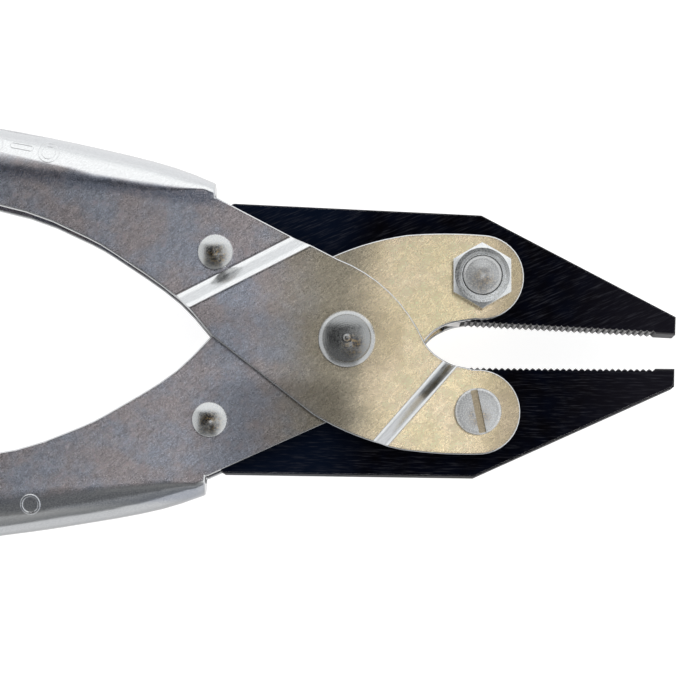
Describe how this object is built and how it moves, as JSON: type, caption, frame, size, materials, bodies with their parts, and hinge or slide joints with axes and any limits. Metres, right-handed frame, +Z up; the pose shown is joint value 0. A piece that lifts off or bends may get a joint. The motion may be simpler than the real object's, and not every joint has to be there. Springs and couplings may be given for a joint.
{
  "type": "parallel-action pliers",
  "caption": "Parallel-action flat-nose pliers with folded sheet-steel handles and black serrated jaws that open without turning.",
  "frame": {"origin": "bottom centre of the tool's bounding box, with the tool lying flat at the pictured opening", "axes": "+X along the tool to the jaw tips, +Y the way the upper jaw opens, +Z up through the pivots, towards the nut of the upper jaw"},
  "size_m": [0.2, 0.0806, 0.0188],
  "materials": {
    "plated_sheet": "satin plated sheet with fine speckle",
    "black_steel": "black oxide over ground steel",
    "bright_steel": "bright turned steel"
  },
  "bodies": {
    "fixed_handle": {"handle_a": "plated_sheet", "centre_rivet_front": "bright_steel", "centre_rivet_back": "bright_steel", "lower_pivot_screw": "bright_steel", "lower_pivot_nut": "bright_steel", "upper_rear_rivet": "bright_steel"},
    "moving_handle": {"handle_b": "plated_sheet", "upper_pivot_screw": "bright_steel", "upper_pivot_nut": "bright_steel", "lower_rear_rivet": "bright_steel"},
    "lower_jaw_body": {"lower_jaw": "black_steel"},
    "upper_jaw_body": {"upper_jaw": "black_steel"}
  },
  "joints": [
    {"name": "handle_pivot", "type": "hinge", "parent": "fixed_handle", "child": "moving_handle", "pos_m": [0.0541, 0, 0.0094], "axis": [0, 0, 1], "range_deg": [-13, 22]},
    {"name": "lower_jaw_pivot", "type": "hinge", "parent": "fixed_handle", "child": "lower_jaw_body", "pos_m": [0.0726, -0.00942, 0.0094], "axis": [0, 0, 1], "range_deg": [-6.5, 11]},
    {"name": "upper_jaw_pivot", "type": "hinge", "parent": "moving_handle", "child": "upper_jaw_body", "pos_m": [0.0726, 0.00942, 0.0094], "axis": [0, 0, 1], "range_deg": [-11, 6.5]}
  ],
  "couplings": [
    {"joint": "lower_jaw_pivot", "follows": "handle_pivot", "ratio": 0.5},
    {"joint": "upper_jaw_pivot", "follows": "handle_pivot", "ratio": -0.5}
  ]
}
